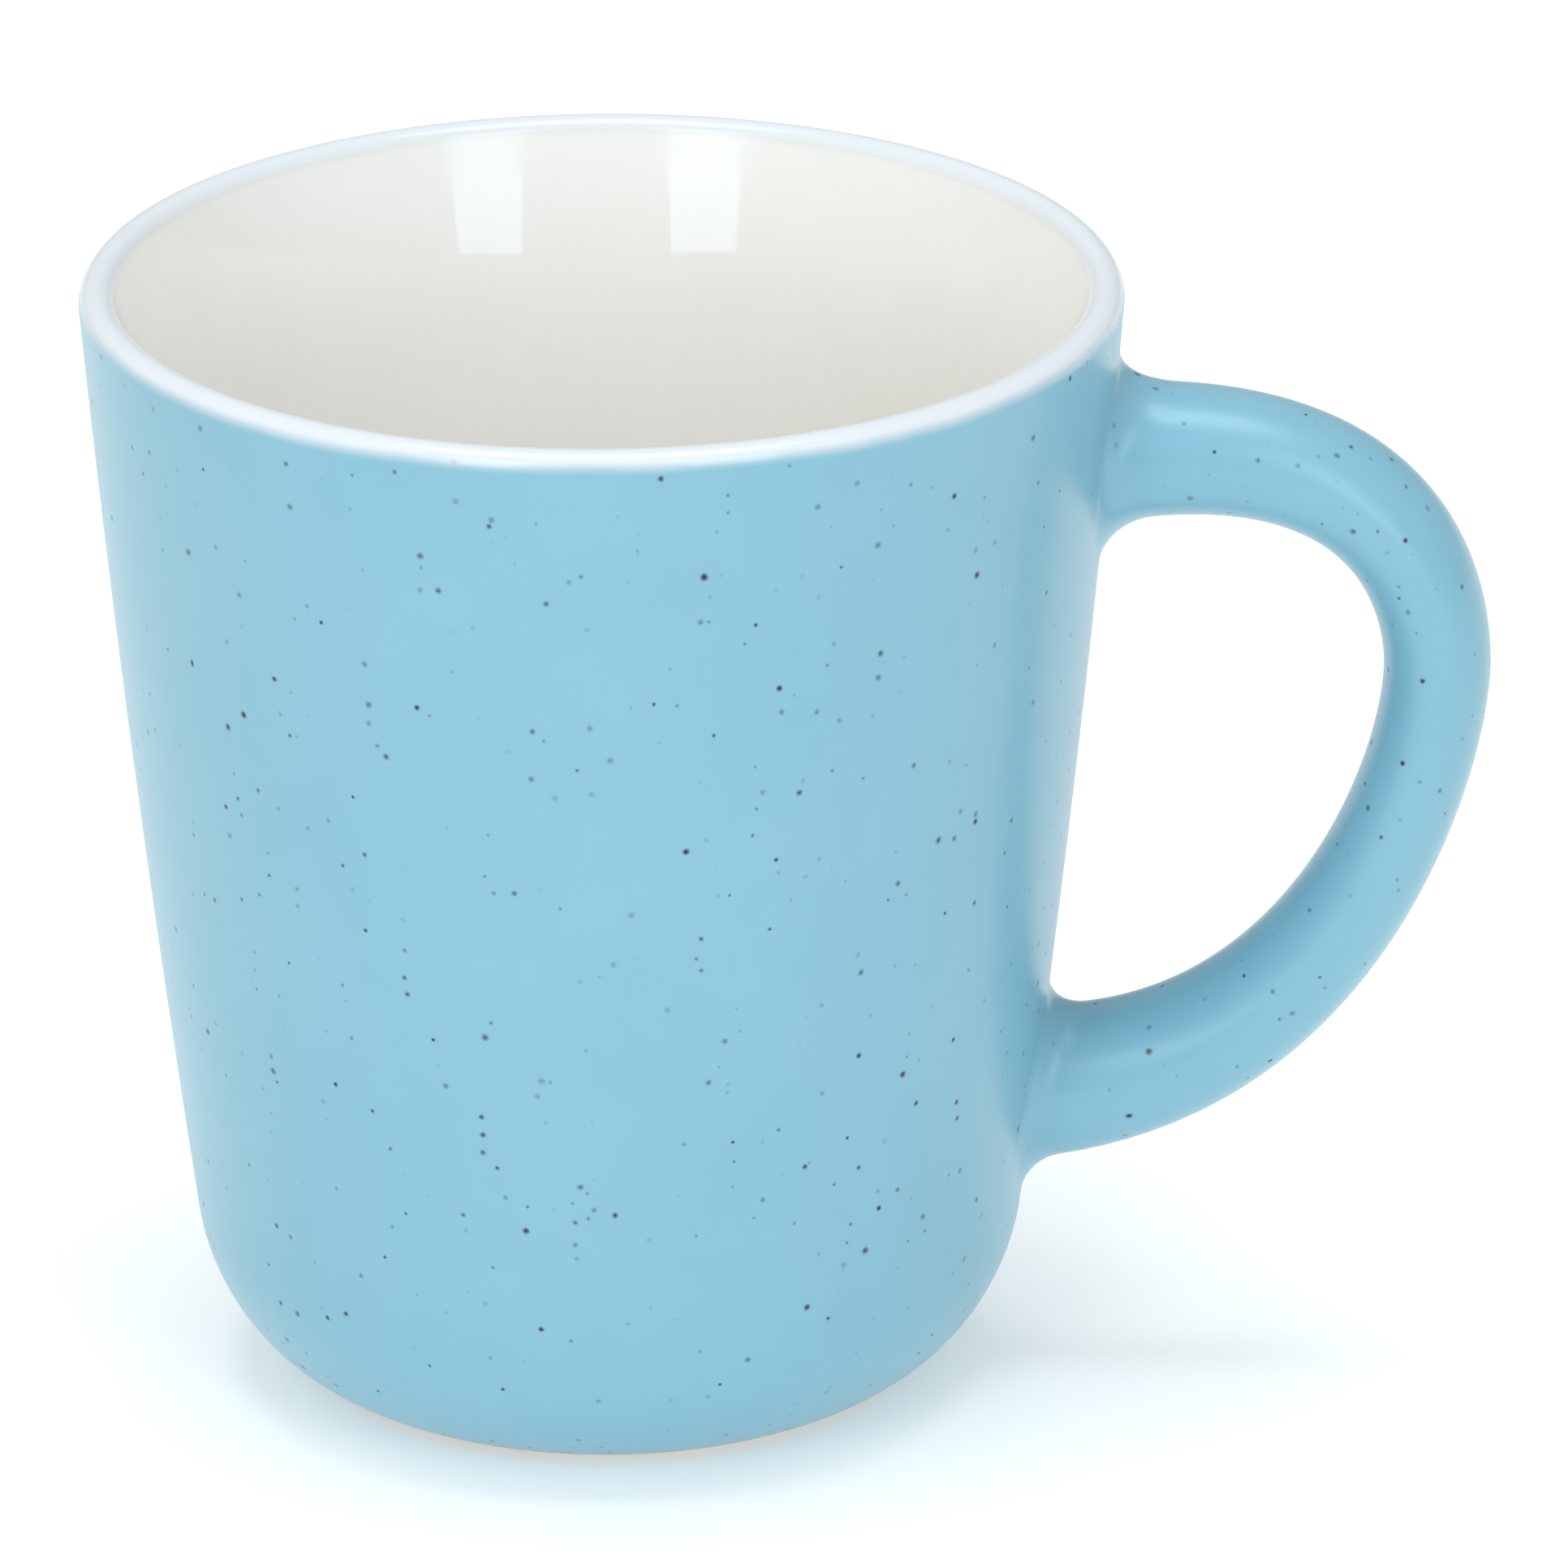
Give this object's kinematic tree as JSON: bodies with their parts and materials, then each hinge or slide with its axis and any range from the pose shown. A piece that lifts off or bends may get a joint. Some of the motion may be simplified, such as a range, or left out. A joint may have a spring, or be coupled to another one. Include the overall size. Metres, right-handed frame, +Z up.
{
  "type": "mug",
  "caption": "Tapered stoneware mug with a rounded base and a loop handle, white gloss inside and speckled satin blue outside.",
  "frame": {"origin": "middle of the mug's footprint on the surface it stands on: halfway between the rim's far side and the handle's outer edge. The cup's own axis is the vertical line x = -0.0151, y = 0", "axes": "+Z up out of the cup's mouth, +X from the cup towards the handle, and the mug is the same on both sides of the plane y = 0"},
  "size_m": [0.1152, 0.085, 0.0945],
  "materials": {
    "stoneware_clay": "bare fired stoneware, matt and finely grained",
    "joining_slip": "fired clay slip, matt",
    "white_gloss_glaze": "warm white gloss glaze",
    "blue_satin_glaze": "satin light blue glaze with scattered dark iron specks"
  },
  "bodies": {
    "root": {"cup_clay": "stoneware_clay", "handle_clay": "stoneware_clay", "upper_joining_slip": "joining_slip", "lower_joining_slip": "joining_slip", "liner_glaze": "white_gloss_glaze", "base_glaze": "white_gloss_glaze", "outer_glaze": "blue_satin_glaze"}
  },
  "joints": []
}
